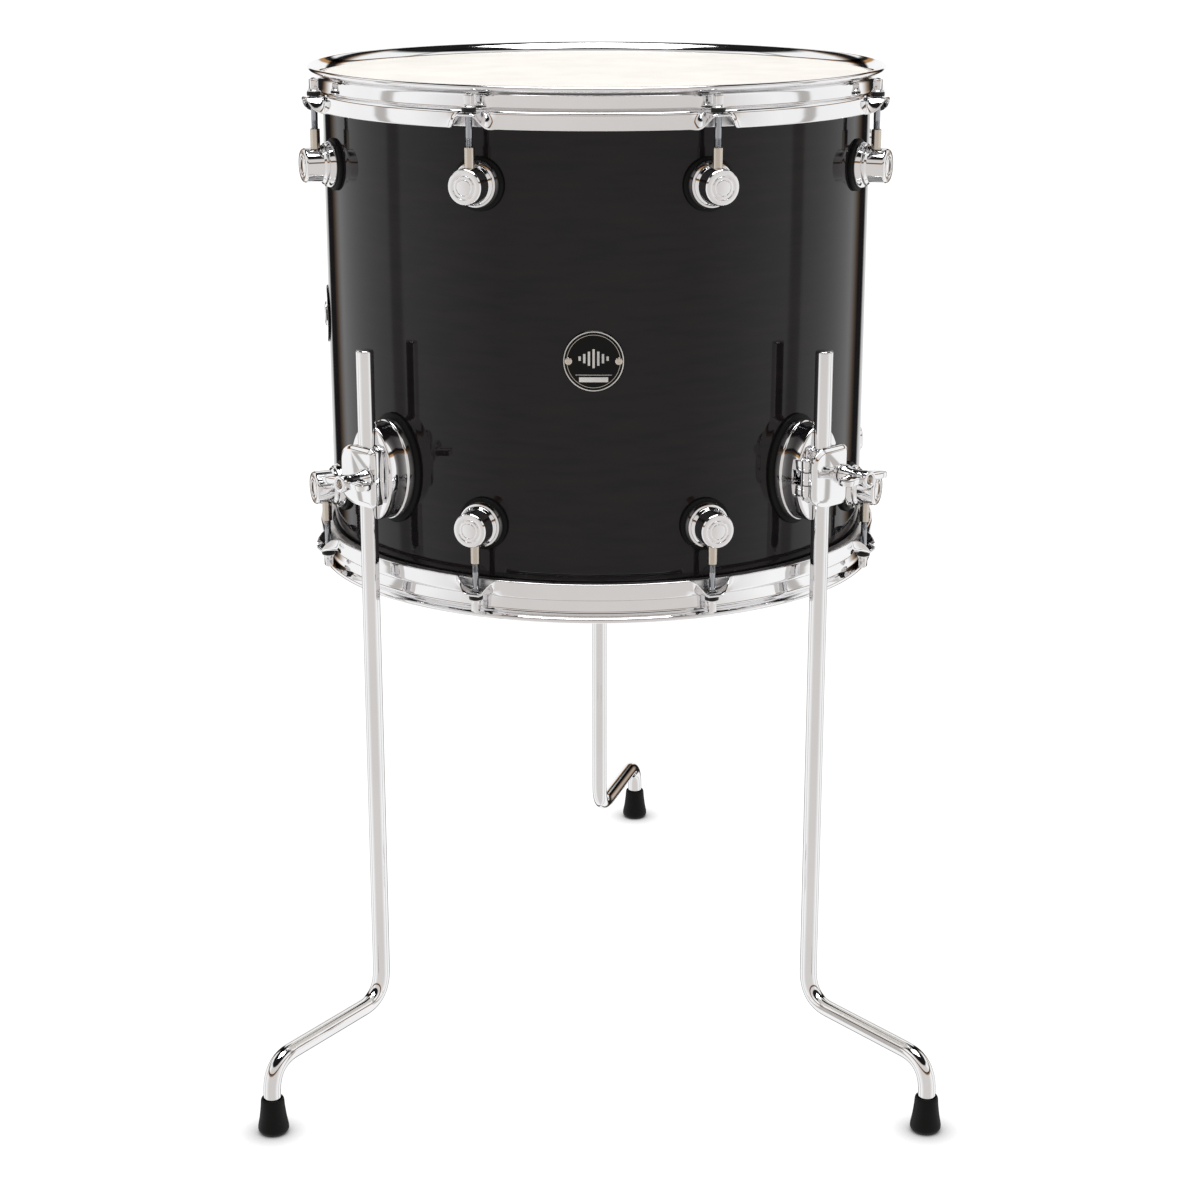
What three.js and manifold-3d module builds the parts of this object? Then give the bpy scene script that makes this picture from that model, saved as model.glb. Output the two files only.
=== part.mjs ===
// A three-legged floor tom: a wooden shell closed by a drumhead and a triple-flanged hoop at each end,
// sixteen tube lugs with their tension rods, and three height-adjustable legs held in clamp brackets.
// Millimetres, +Z up. The origin is on the floor, at the middle of the box around the three feet.
// Angles are measured about the drum's axis from the front (-Y) towards +X.
import * as THREE from 'three';
import { mergeVertices } from 'three/addons/utils/BufferGeometryUtils.js';
import Module from 'manifold-3d';

// ---- Driving dimensions
const SHELL_RADIUS = 203.2; // a 16 inch shell
const SHELL_DEPTH = 355.6; // 14 inches
const SHELL_WALL = 7.2;
const MIDDLE = 553.4; // the shell's middle above the floor
const EDGE_CHAMFER = 1.8; // outer part of the bearing edge
const ROUND = 48; // sides of everything turned about the drum's axis
const PER_HEAD = 8; // lugs, rods and hoop ears at each end
const FIRST_LUG = 22.5; // degrees
const LUG_OFFSET = 119; // lug row from the shell's middle
const ROD_CIRCLE = 217.3; // radius on which the tension rods stand
const ROD_RADIUS = 2.5;
const NUT_RADIUS = 3.5; // swivel nut's sleeve
const NUT_REACH = 25.7; // sleeve's open end from the lug's centre
const NUT_DEPTH = 21.7; // depth of the sleeve's bore
const WASHER_RADIUS = 5;
const EAR_TOP = 167.7; // ear's bearing face from the shell's middle
const EAR_THICKNESS = 2.3;
const HOOP_HOLE = 3.4;
const GAP = 0.3; // between pieces that touch on the real drum
const LEG_RADIUS = 6.35; // a half inch rod
const LEG_CIRCLE = 228.1; // radius on which the legs stand
const LEG_TOP = 553;
const LEG_OFFSET = 128; // foot out from the leg's upper length
const UPPER_BEND = 55.5; // heights at which the leg's centre lines cross
const LOWER_BEND = 54.5;
const BEND_RADIUS = 20;
const FOOT_RADIUS = 11.2;
const FOOT_HEIGHT = 27;
const FOOT_FLOOR = 6; // rubber under the leg's end
const BRACKET_HEIGHT = 464;
const CLAMP_BOLT = 11.5; // clamp bolt beside the leg
const BOLT_RADIUS = 2.8;
const BOLT_END = 33; // outward from the leg's axis
const GATE_FACE = 10.6;
const LEG_CHANNEL = 6.9;
const BADGE_RADIUS = 21.5;
const VENT_RADIUS = 6;
const SIDE_BADGE = -85; // degrees

// Each leg: where it stands round the drum, and how far it is turned in its bracket, in degrees.
const LEGS = [
  { name: 'left', angle: -45, turn: 11.8 },
  { name: 'right', angle: 45, turn: -6.6 },
  { name: 'rear', angle: 180, turn: -14.8 },
];

// ---- Materials
const finish = (color, roughness, metalness) => new THREE.MeshStandardMaterial({ color, roughness, metalness });
const chrome = () => finish(0xd8d8da, 0.06, 1);
const lacqueredWood = () => finish(0x1c191a, 0.15, 0);
const headFilm = () => finish(0xf2efe6, 0.35, 0);
const bareAluminium = () => finish(0xb9bbbd, 0.35, 1);
const rubber = () => finish(0x141415, 0.7, 0);
const blackPlate = () => finish(0x101012, 0.25, 0.3);

// ---- Solids
const wasm = await Module();
wasm.setup();

const radians = (degrees) => THREE.MathUtils.degToRad(degrees);

/** A boolean solid of one closed geometry. */
function solid(geometry) {
  const bare = geometry.clone();
  bare.deleteAttribute('normal');
  bare.deleteAttribute('uv');
  const merged = mergeVertices(bare, 1e-4);
  const index = merged.index.array;
  const triangles = [];
  for (let i = 0; i < index.length; i += 3) {
    const [a, b, c] = [index[i], index[i + 1], index[i + 2]];
    if (a !== b && b !== c && c !== a) triangles.push(a, b, c);
  }
  const vertProperties = new Float32Array(merged.attributes.position.array);
  return new wasm.Manifold(new wasm.Mesh({ numProp: 3, vertProperties, triVerts: new Uint32Array(triangles) }));
}

const join = (first, ...rest) => rest.reduce((whole, piece) => whole.add(piece), first);
const cut = (first, ...rest) => rest.reduce((whole, piece) => whole.subtract(piece), first);

/** The geometry of a boolean solid. */
function geometryOf(manifold) {
  const mesh = manifold.getMesh();
  const geometry = new THREE.BufferGeometry();
  geometry.setAttribute('position', new THREE.BufferAttribute(new Float32Array(mesh.vertProperties), 3));
  geometry.setIndex(new THREE.BufferAttribute(new Uint32Array(mesh.triVerts), 1));
  geometry.computeVertexNormals();
  return geometry;
}

/** A solid of revolution about Z. Profile points are [radius, height], anticlockwise; it closes on itself. */
function turned(profile, sides) {
  const points = profile.map(([radius, height]) => new THREE.Vector2(radius, height));
  if (profile[0][0] > 0) points.push(points[0].clone());
  return new THREE.LatheGeometry(points, sides).rotateX(Math.PI / 2);
}

/** A round bar about Z between two heights. */
function bar(radius, low, high, sides) {
  return new THREE.CylinderGeometry(radius, radius, high - low, sides)
    .rotateX(Math.PI / 2)
    .translate(0, 0, (low + high) / 2);
}

/** Turns what was made about Z to point outward from the drum, along -Y. */
const outward = (geometry) => geometry.rotateX(Math.PI / 2);

/** A flat outline (x across, y up) extruded outward, from one distance from the drum's axis to another. */
function plate(outline, near, far, curveSegments = 10) {
  const settings = { depth: far - near, bevelEnabled: false, curveSegments };
  return outward(new THREE.ExtrudeGeometry(outline, settings).translate(0, 0, near));
}

function ellipse(halfWidth, halfHeight) {
  return new THREE.Shape().absellipse(0, 0, halfWidth, halfHeight, 0, 2 * Math.PI, false, 0);
}

/** A rectangle with round corners, from (left, low) to (right, high). */
function roundedBox(left, low, right, high, corner) {
  const shape = new THREE.Shape();
  shape.moveTo(left + corner, low);
  shape.lineTo(right - corner, low);
  shape.absarc(right - corner, low + corner, corner, -Math.PI / 2, 0, false);
  shape.lineTo(right, high - corner);
  shape.absarc(right - corner, high - corner, corner, 0, Math.PI / 2, false);
  shape.lineTo(left + corner, high);
  shape.absarc(left + corner, high - corner, corner, Math.PI / 2, Math.PI, false);
  shape.lineTo(left, low + corner);
  shape.absarc(left + corner, low + corner, corner, Math.PI, 1.5 * Math.PI, false);
  return shape;
}

function box(left, right, near, far, low, high) {
  return new THREE.BoxGeometry(right - left, far - near, high - low)
    .translate((left + right) / 2, -(near + far) / 2, (low + high) / 2);
}

/** A curved plate that lies on a cylinder between two radii, cut to an outline. */
function saddle(outline, innerRadius, outerRadius, height) {
  const blank = solid(plate(outline, innerRadius - 10, outerRadius + 10));
  const outer = solid(bar(outerRadius, -height, height, 2 * ROUND));
  const inner = solid(bar(innerRadius, -height - 1, height + 1, 2 * ROUND));
  return cut(blank.intersect(outer), inner);
}

// ---- Assembly
const floorTom = new THREE.Group();
const drum = new THREE.Group(); // stands on the drum's axis
floorTom.add(drum);

function add(parent, name, geometry, material) {
  const mesh = new THREE.Mesh(geometry, material);
  mesh.name = name;
  parent.add(mesh);
}

/** A group on the drum's axis, turned so that its -Y points outward at an angle round the drum. */
function facing(degrees, height, parent = drum) {
  const group = new THREE.Group();
  group.rotation.z = radians(degrees);
  group.position.z = height;
  parent.add(group);
  return group;
}

const lugAngles = Array.from({ length: PER_HEAD }, (_, i) => FIRST_LUG + (360 / PER_HEAD) * i);

/** Where a leg's foot stands, from the drum's axis. */
function footPlace({ angle, turn }) {
  const leg = radians(angle);
  const out = radians(angle + turn);
  return new THREE.Vector2(
    LEG_CIRCLE * Math.sin(leg) + LEG_OFFSET * Math.sin(out),
    -LEG_CIRCLE * Math.cos(leg) - LEG_OFFSET * Math.cos(out),
  );
}

// ---- Shell
function makeShell() {
  const half = SHELL_DEPTH / 2;
  const inner = SHELL_RADIUS - SHELL_WALL;
  const slope = SHELL_WALL - EDGE_CHAMFER;
  const profile = [
    [SHELL_RADIUS - EDGE_CHAMFER, -half],
    [SHELL_RADIUS, -half + EDGE_CHAMFER],
    [SHELL_RADIUS, half - EDGE_CHAMFER],
    [SHELL_RADIUS - EDGE_CHAMFER, half],
    [inner, half - slope],
    [inner, -half + slope],
  ];
  const vent = outward(bar(VENT_RADIUS, inner - 10, SHELL_RADIUS + 10, 16)).rotateZ(radians(SIDE_BADGE));
  const shell = geometryOf(cut(solid(turned(profile, ROUND)), solid(vent)));
  add(facing(0, MIDDLE), 'shell', shell, lacqueredWood());
}

// ---- Drumheads, flesh hoops and rims. Each is made for the top end; the bottom end is the same, turned over.
function headProfile() {
  const crest = SHELL_DEPTH / 2 + GAP;
  const film = 0.5;
  const collar = SHELL_RADIUS + GAP;
  const collarEnd = 165.4;
  return [
    [0, crest],
    [SHELL_RADIUS - 1.4, crest],
    [collar, crest - 1.9],
    [collar, collarEnd],
    [collar + film, collarEnd],
    [collar + film, crest - 1.6],
    [SHELL_RADIUS - 1.2, crest + film],
    [0, crest + film],
  ];
}

const fleshHoopProfile = [[204.6, 157.5], [211.4, 157.5], [211.4, 165], [204.6, 165]];

/** Skirt, ledge, wall and rolled bead of a triple-flanged rim, which is 2 mm steel. */
function rimProfile() {
  const bead = { radius: 212.7, height: 183.4, size: 1.8 };
  const outline = [[212.3, 157.2], [215.5, 157.2], [214.3, 160], [214.3, 169.6], [208, 169.6], [208, 178.4]];
  for (const angle of [-110, 0, 100]) {
    const turn = radians(angle);
    outline.push([bead.radius + bead.size * Math.cos(turn), bead.height + bead.size * Math.sin(turn)]);
  }
  outline.push([206, 180.5], [206, 167.2], [212.3, 167.2]);
  return outline;
}

function makeRim() {
  const ears = [];
  const cuts = [];
  const earLow = EAR_TOP - EAR_THICKNESS;
  for (const angle of lugAngles) {
    const turn = radians(angle);
    const tab = plate(roundedBox(-13, -7.2, 13, 8.8, 4), earLow, EAR_TOP, 1)
      .rotateX(-Math.PI / 2)
      .translate(0, -ROD_CIRCLE, 0);
    ears.push(solid(tab.rotateZ(turn)));
    cuts.push(solid(box(-17.5, 17.5, 211.8, 220, 150, earLow + 0.2).rotateZ(turn)));
    cuts.push(solid(bar(WASHER_RADIUS + 0.7, EAR_TOP, 172, 10).translate(0, -ROD_CIRCLE, 0).rotateZ(turn)));
    ears.at(-1).hole = solid(bar(HOOP_HOLE, 150, 172, 10).translate(0, -ROD_CIRCLE, 0).rotateZ(turn));
  }
  const ring = cut(solid(turned(rimProfile(), ROUND)), ...cuts);
  return geometryOf(cut(join(ring, ...ears), ...ears.map((ear) => ear.hole)));
}

function makeEnds() {
  const rim = makeRim();
  for (const [end, flip] of [['batter', 0], ['resonant', Math.PI]]) {
    const place = facing(0, MIDDLE);
    place.rotation.x = flip;
    add(place, `${end}_head`, turned(headProfile(), ROUND), headFilm());
    add(place, `${end}_flesh_hoop`, turned(fleshHoopProfile, ROUND), bareAluminium());
    add(place, `${end}_hoop`, rim.clone(), chrome());
  }
}

// ---- Lugs and tension rods
/** Rubber seat, stepped round body and the swivel nut's sleeve, with its bore for the rod. */
function makeLug() {
  const near = SHELL_RADIUS + GAP;
  const body = solid(outward(turned([
    [0, near], [18.7, near], [18.7, near + 2.5], [16.4, near + 2.5], [15.5, near + 11.2],
    [12.5, near + 11.2], [12.5, near + 23.7], [0, near + 23.7],
  ], 12)));
  const sleeve = solid(bar(NUT_RADIUS, 0, NUT_REACH, 10).translate(0, -ROD_CIRCLE, 0));
  const bore = bar(ROD_RADIUS + 0.25, NUT_REACH - NUT_DEPTH, NUT_REACH + 1, 10).translate(0, -ROD_CIRCLE, 0);
  return geometryOf(cut(join(body, sleeve), solid(bore)));
}

/** Threaded rod, nylon washer, collar and square key head, about Z, at heights from the shell's middle. */
function makeRod() {
  const tip = LUG_OFFSET + NUT_REACH - NUT_DEPTH + 1;
  const washer = EAR_TOP + GAP;
  const shaft = turned([
    [0, tip], [ROD_RADIUS, tip], [ROD_RADIUS, washer], [WASHER_RADIUS, washer], [WASHER_RADIUS, washer + 3.4],
    [3.3, washer + 3.4], [3.3, washer + 5.2], [0, washer + 5.2],
  ], 8);
  const key = new THREE.BoxGeometry(5.6, 5.6, 9).translate(0, 0, EAR_TOP + 8.7);
  return geometryOf(join(solid(shaft), solid(key)));
}

function makeTuning() {
  const lug = makeLug();
  const rod = makeRod();
  for (const [end, flip] of [['batter', 0], ['resonant', Math.PI]]) {
    const row = facing(0, MIDDLE);
    row.rotation.x = flip;
    lugAngles.forEach((angle, i) => {
      add(facing(angle, LUG_OFFSET, row), `${end}_lug_${i + 1}`, lug.clone(), chrome());
      const place = facing(angle, 0, row);
      add(place, `${end}_rod_${i + 1}`, rod.clone().translate(0, -ROD_CIRCLE, 0), chrome());
    });
  }
}

// ---- Leg brackets. Distances outward are from the leg's axis.
const fromLeg = (distance) => LEG_CIRCLE + distance;
const legChannel = () => solid(bar(LEG_CHANNEL, -60, 60, 14).translate(0, -LEG_CIRCLE, 0));
const HINGE = { across: -17, out: 1, radius: 4, half: 13, middle: 4.6 };

function hingeBarrel(low, high) {
  return solid(bar(HINGE.radius, low, high, 12).translate(HINGE.across, -fromLeg(HINGE.out), 0));
}

/** Oval flange and housing, saddle for the leg, two hinge barrels in their pocket and the clamp bolt. */
function makeBracketBody() {
  const seat = SHELL_RADIUS + 2.8 + GAP;
  const base = saddle(ellipse(24, 36.5), seat, fromLeg(-16), 60);
  const pocket = solid(box(-30, -12.6, fromLeg(-8), fromLeg(2), -HINGE.half - GAP, HINGE.half + GAP));
  const housing = cut(solid(plate(ellipse(22.9, 35.2), seat + 2, fromLeg(-2))), pocket);
  const block = solid(plate(roundedBox(-12.5, -21, 15.5, 21, 3), fromLeg(-12), fromLeg(-0.4), 1));
  const bolt = solid(outward(bar(BOLT_RADIUS, fromLeg(-6), fromLeg(BOLT_END), 12)).translate(CLAMP_BOLT, 0, 0));
  const lugs = [-1, 1].map((side) => {
    const low = side < 0 ? -HINGE.half : HINGE.middle + GAP;
    return join(
      hingeBarrel(low, low + HINGE.half - HINGE.middle - GAP),
      solid(box(-20.5, -13, fromLeg(-10), fromLeg(-1), low, low + HINGE.half - HINGE.middle - GAP)),
    );
  });
  return geometryOf(cut(join(base, housing, block, bolt, ...lugs), legChannel()));
}

/** The hinged plate that the wing nut pulls on to the leg. */
function makeGate() {
  const outline = new THREE.Shape();
  outline.moveTo(-19.5, -17);
  outline.lineTo(-7, -22.5);
  outline.lineTo(18.2, -22.5);
  outline.lineTo(18.2, 21);
  outline.lineTo(-11, 21);
  outline.lineTo(-19.5, 14);
  const front = solid(plate(outline, fromLeg(6.2), fromLeg(GATE_FACE)));
  const back = solid(plate(roundedBox(-11, -21, 17, 20, 2), fromLeg(0.4), fromLeg(7), 1));
  const barrel = join(
    hingeBarrel(-HINGE.middle, HINGE.middle),
    solid(box(-18.5, -15.5, fromLeg(2), fromLeg(7), -HINGE.middle, HINGE.middle)),
  );
  const boltHole = solid(outward(bar(BOLT_RADIUS + 0.7, fromLeg(-2), fromLeg(20), 12)).translate(CLAMP_BOLT, 0, 0));
  return geometryOf(cut(join(front, back, barrel), legChannel(), boltHole));
}

/** A hub with two flat wings, threaded on the clamp bolt. */
function makeWingNut() {
  const near = fromLeg(GATE_FACE + GAP);
  const far = fromLeg(BOLT_END + 2.5);
  const hub = outward(turned([[0, near], [7.2, near], [7.2, near + 5], [5.2, near + 9], [5.6, far], [0, far]], 14));
  const wings = new THREE.ExtrudeGeometry(
    roundedBox(-23, -far + 0.5, 23, -far + 12, 5),
    { depth: 4.4, bevelEnabled: false, curveSegments: 2 },
  ).translate(0, 0, -2.2);
  const bore = outward(bar(BOLT_RADIUS + 0.35, near - 1, far + 1, 12));
  return geometryOf(cut(join(solid(hub), solid(wings)), solid(bore)).translate([CLAMP_BOLT, 0, 0]));
}

// ---- Legs and feet
/** A straight rod that bends outward near the floor and down again into the foot. */
function makeLeg(turn) {
  const out = new THREE.Vector3(Math.sin(radians(turn)), -Math.cos(radians(turn)), 0);
  const at = (distance, height) => out.clone().multiplyScalar(distance).setZ(height);
  const end = FOOT_FLOOR + GAP;
  const bendTop = UPPER_BEND + BEND_RADIUS;
  const bendBottom = LOWER_BEND - BEND_RADIUS;
  const path = new THREE.CurvePath();
  const first = at(BEND_RADIUS, UPPER_BEND);
  const second = at(LEG_OFFSET - BEND_RADIUS, LOWER_BEND);
  path.add(new THREE.LineCurve3(at(0, bendTop + 4), at(0, bendTop)));
  path.add(new THREE.QuadraticBezierCurve3(at(0, bendTop), at(0, UPPER_BEND), first));
  path.add(new THREE.LineCurve3(first, second));
  path.add(new THREE.QuadraticBezierCurve3(second, at(LEG_OFFSET, LOWER_BEND), at(LEG_OFFSET, bendBottom)));
  path.add(new THREE.LineCurve3(at(LEG_OFFSET, bendBottom), at(LEG_OFFSET, end)));
  const section = new THREE.Shape().absarc(0, 0, LEG_RADIUS, 0, 2 * Math.PI, false);
  const settings = { steps: 16, curveSegments: 5, bevelEnabled: false, extrudePath: path };
  const bent = solid(new THREE.ExtrudeGeometry(section, settings));
  const straight = solid(bar(LEG_RADIUS, bendTop, LEG_TOP, 10));
  return geometryOf(join(straight, bent).translate([0, -LEG_CIRCLE, 0]));
}

/** A rubber foot with a socket for the leg's end. */
function makeFoot() {
  const socket = LEG_RADIUS + 0.5;
  return turned([
    [0, 0], [FOOT_RADIUS - 1.4, 0], [FOOT_RADIUS, 2.2], [FOOT_RADIUS, 6.5], [9.4, 12.5], [8.3, FOOT_HEIGHT - 3],
    [8, FOOT_HEIGHT], [socket, FOOT_HEIGHT], [socket, FOOT_FLOOR], [0, FOOT_FLOOR],
  ], 12);
}

function makeLegs() {
  const gasket = geometryOf(saddle(ellipse(27.5, 40.2), SHELL_RADIUS + GAP, SHELL_RADIUS + 2.8, 60));
  const body = makeBracketBody();
  const gate = makeGate();
  const wingNut = makeWingNut();
  for (const leg of LEGS) {
    const bracket = facing(leg.angle, BRACKET_HEIGHT);
    add(bracket, `${leg.name}_bracket_gasket`, gasket.clone(), rubber());
    add(bracket, `${leg.name}_bracket_body`, body.clone(), chrome());
    add(bracket, `${leg.name}_bracket_gate`, gate.clone(), chrome());
    add(bracket, `${leg.name}_wing_nut`, wingNut.clone(), chrome());
    add(facing(leg.angle, 0), `${leg.name}_leg`, makeLeg(leg.turn), chrome());
    const place = footPlace(leg);
    add(drum, `${leg.name}_foot`, makeFoot().translate(place.x, place.y, 0), rubber());
  }
}

// ---- Badges and vent
/** A round plate on the shell with two rivets, or with the hole of the vent. */
function makeBadge(vented) {
  const near = SHELL_RADIUS + GAP;
  const disc = saddle(ellipse(BADGE_RADIUS, BADGE_RADIUS), near, near + 1, 60);
  if (vented) return geometryOf(cut(disc, solid(outward(bar(VENT_RADIUS + 0.5, near - 20, near + 20, 16)))));
  const rivets = [-18, 18].map((across) => solid(outward(bar(2.9, near - 0.4, near + 1.4, 10)).translate(across, 0, 0)));
  return geometryOf(join(disc, ...rivets));
}

/** A flanged tube through the shell, with a wider rim outside and a rolled lip inside. */
function makeGrommet() {
  const outer = VENT_RADIUS - GAP;
  const bore = VENT_RADIUS - 1.6;
  const inside = SHELL_RADIUS - SHELL_WALL - 0.9;
  const outside = SHELL_RADIUS + 1.3 + 2 * GAP;
  return outward(turned([
    [bore, inside], [outer, inside], [outer, outside], [9.5, outside], [9.5, outside + 1.2], [bore, outside + 1.2],
  ], 16));
}

function makeBadges() {
  add(facing(0, MIDDLE), 'badge', makeBadge(false), blackPlate());
  const side = facing(SIDE_BADGE, MIDDLE);
  add(side, 'side_badge', makeBadge(true), blackPlate());
  add(side, 'vent_grommet', makeGrommet(), chrome());
}

makeShell();
makeEnds();
makeTuning();
makeLegs();
makeBadges();

// The origin is the middle of the feet's box, so the drum's axis stands off it.
const feet = new THREE.Box2().setFromPoints(LEGS.map(footPlace));
const middle = feet.getCenter(new THREE.Vector2());
drum.position.set(-middle.x, -middle.y, 0);

export default floorTom;
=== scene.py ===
"""Looks of the three-legged floor tom: lacquered shell, chromed hoops, lugs, rods, brackets and legs."""

import math

import bmesh
import bpy
from mathutils import Matrix, Vector


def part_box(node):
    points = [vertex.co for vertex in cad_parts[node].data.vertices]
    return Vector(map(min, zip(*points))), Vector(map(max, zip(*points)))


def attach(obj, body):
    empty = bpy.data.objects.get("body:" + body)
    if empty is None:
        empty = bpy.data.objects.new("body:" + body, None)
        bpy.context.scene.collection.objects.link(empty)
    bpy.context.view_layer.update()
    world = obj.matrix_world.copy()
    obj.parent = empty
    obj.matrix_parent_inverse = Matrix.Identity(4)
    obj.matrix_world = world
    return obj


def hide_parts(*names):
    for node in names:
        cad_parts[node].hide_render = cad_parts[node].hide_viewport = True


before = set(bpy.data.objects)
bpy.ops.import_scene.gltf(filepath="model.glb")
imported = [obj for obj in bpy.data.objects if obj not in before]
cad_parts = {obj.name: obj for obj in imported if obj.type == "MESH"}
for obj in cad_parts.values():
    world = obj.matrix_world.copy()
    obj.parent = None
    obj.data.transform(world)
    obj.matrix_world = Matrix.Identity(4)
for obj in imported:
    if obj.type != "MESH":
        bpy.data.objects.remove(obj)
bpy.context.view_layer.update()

# ---- The frame: lengths in millimetres, angles in degrees around from the front.
MM = 0.001
shell_low, shell_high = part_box("shell")
AXIS = (shell_low + shell_high) / (2 * MM)
SHELL_RADIUS = (shell_high.x - shell_low.x) / (2 * MM)
HALF_DEPTH = (shell_high.z - shell_low.z) / (2 * MM)
SHELL_WALL = 7.2
PER_HEAD = 8
FIRST_LUG = 22.5
LUG_OFFSET = 119
ROD_CIRCLE = 217.3
LEG_CIRCLE = 228.1
LEG_RADIUS = 6.35
BRACKET_HEIGHT = 464
CLAMP_BOLT = 11.5
BOLT_END = 33
LEG_CHANNEL = 6.9
VENT_RADIUS = 6
SIDE_BADGE = -85
LEGS = (("left", -45), ("right", 45), ("rear", 180))

# Points closer than this many metres are one point, and edges sharper than this many degrees stay crisp.
WELD = 1e-7
SHARP = 38


# ---- Places
def facing(degrees, height=0.0, turned_over=False):
    """A frame on the drum's axis whose -Y points outward at an angle from the front.

    Its height is measured from the drum's middle, and downward where the frame is turned over.
    """
    flip = Matrix.Rotation(math.pi, 4, "X") if turned_over else Matrix.Identity(4)
    turn = Matrix.Rotation(math.radians(degrees), 4, "Z")
    return Matrix.Translation(AXIS * MM) @ flip @ turn @ Matrix.Translation((0, 0, height * MM))


def from_floor(height):
    """A height from the drum's middle for one measured from the floor."""
    return height - AXIS.z


# ---- Outlines
def rounded(points, radius, steps=3, closed=True):
    """An outline whose corners are eased by curves that start a radius away from each."""
    last = len(points) - 1
    outline = []
    for i, point in enumerate(points):
        if not closed and i in (0, last):
            outline.append(tuple(point))
            continue
        corner = Vector(point)
        before = Vector(points[i - 1]) - corner
        after = Vector(points[(i + 1) % len(points)]) - corner
        start = corner + before.normalized() * min(radius, before.length * 0.45)
        end = corner + after.normalized() * min(radius, after.length * 0.45)
        for k in range(steps + 1):
            t = k / steps
            outline.append(tuple(start * (1 - t) ** 2 + corner * (2 * t * (1 - t)) + end * t * t))
    return outline


def box_outline(left, low, right, high):
    return [(left, low), (right, low), (right, high), (left, high)]


def oval(half_width, half_height, sides=72, power=2.0, shift=0.0):
    """An ellipse, or with a higher power a rounded box, shifted across."""
    outline = []
    for i in range(sides):
        angle = 2 * math.pi * i / sides
        c, s = math.cos(angle), math.sin(angle)
        across = math.copysign(abs(c) ** (2 / power), c) * half_width + shift
        outline.append((across, math.copysign(abs(s) ** (2 / power), s) * half_height))
    return outline


def inset(outline, distance):
    """The outline moved inward by a distance."""
    moved = []
    for i, point in enumerate(outline):
        before = (Vector(point) - Vector(outline[i - 1])).normalized()
        after = (Vector(outline[(i + 1) % len(outline)]) - Vector(point)).normalized()
        normal = Vector((-before.y - after.y, before.x + after.x))
        normal = normal / max(normal.length_squared / 2, 0.5)
        moved.append(tuple(Vector(point) + normal * distance))
    return moved


# ---- Meshes, in millimetres until they are placed
def mesh_of(vertices, faces, sharp=SHARP):
    mesh = bpy.data.meshes.new("mesh")
    mesh.from_pydata([Vector(v) * MM for v in vertices], [], faces)
    build = bmesh.new()
    build.from_mesh(mesh)
    bmesh.ops.remove_doubles(build, verts=build.verts, dist=WELD)
    bmesh.ops.recalc_face_normals(build, faces=build.faces)
    build.to_mesh(mesh)
    build.free()
    return smoothed(mesh, sharp)


def smoothed(mesh, sharp=SHARP):
    mesh.shade_smooth()
    mesh.set_sharp_from_angle(angle=math.radians(sharp))
    return mesh


def skin(rings, ring_shaped=False, sharp=SHARP):
    """A surface over closed rings of points. It ends in two flat caps, or its last ring meets its first."""
    count = len(rings[0])
    vertices = [point for ring in rings for point in ring]
    faces = []
    for i in range(len(rings) if ring_shaped else len(rings) - 1):
        low, high = i * count, ((i + 1) % len(rings)) * count
        for j in range(count):
            k = (j + 1) % count
            faces.append((low + j, low + k, high + k, high + j))
    if not ring_shaped:
        faces.append(tuple(range(count)))
        faces.append(tuple(range(len(vertices) - count, len(vertices))))
    return mesh_of(vertices, faces, sharp)


def circle(radius, height, sides):
    step = 2 * math.pi / sides
    return [(radius * math.cos(i * step), radius * math.sin(i * step), height) for i in range(sides)]


def turned(profile, sides=64, hollow=False):
    """A surface of revolution about Z. A hollow one has a closed profile that stays off the axis."""
    on_axis = WELD / MM
    return skin([circle(max(r, on_axis), h, sides) for r, h in profile], hollow)


def plate(outline, near, far, bevel=0.6, dome=0.0):
    """An outline extruded along Z between two heights, with eased edges and a crowned far face."""
    sections = [(bevel, near), (bevel * 0.3, near + bevel * 0.3), (0, near + bevel), (0, far - bevel)]
    sections += [(bevel * 0.3, far - bevel * 0.3), (bevel, far)]
    if dome:
        sections += [(bevel + 1.2, far + dome * 0.7), (bevel + 2.6, far + dome)]
    return skin([[(x, y, z) for x, y in inset(outline, d)] for d, z in sections])


def threaded(radius, pitch, low, high, sides=18):
    """A screw thread about Z."""
    rows = int((high - low) / pitch * 4)
    rings = []
    for row in range(rows + 1):
        height = low + (high - low) * row / rows
        ring = []
        for i in range(sides):
            turn = i / sides
            phase = ((height - low) / pitch - turn) % 1
            depth = 0.55 * pitch * abs(2 * phase - 1)
            angle = 2 * math.pi * turn
            ring.append(((radius - depth) * math.cos(angle), (radius - depth) * math.sin(angle), height))
        rings.append(ring)
    return skin(rings, sharp=60)


# What a layer is unless it says otherwise: fully curved, an ellipse and not shifted.
HUGGING = (1, 2, 0)


def on_shell(layers):
    """A surface over ovals that hug the shell.

    A layer is half width, half height and distance out. It may go on with how far it follows the shell's
    curve, from 1 to 0 for flat, then the oval's power and its shift.
    """
    rings = []
    for half_width, half_height, out, *shape in layers:
        curved, power, shift = (*shape, *HUGGING[len(shape):])
        ring = []
        for u, z in oval(half_width, half_height, power=power, shift=shift):
            arc = math.sqrt((SHELL_RADIUS + out) ** 2 - u * u)
            ring.append((u, -(arc * curved + (SHELL_RADIUS + out) * (1 - curved)), z))
        rings.append(ring)
    return skin(rings)


def changed(mesh, matrix):
    """The mesh moved by a matrix that is in millimetres."""
    scale = Matrix.Scale(MM, 4)
    mesh.transform(scale @ matrix @ scale.inverted())
    return mesh


def shifted(mesh, x=0.0, y=0.0):
    return changed(mesh, Matrix.Translation((x, y, 0)))


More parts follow.
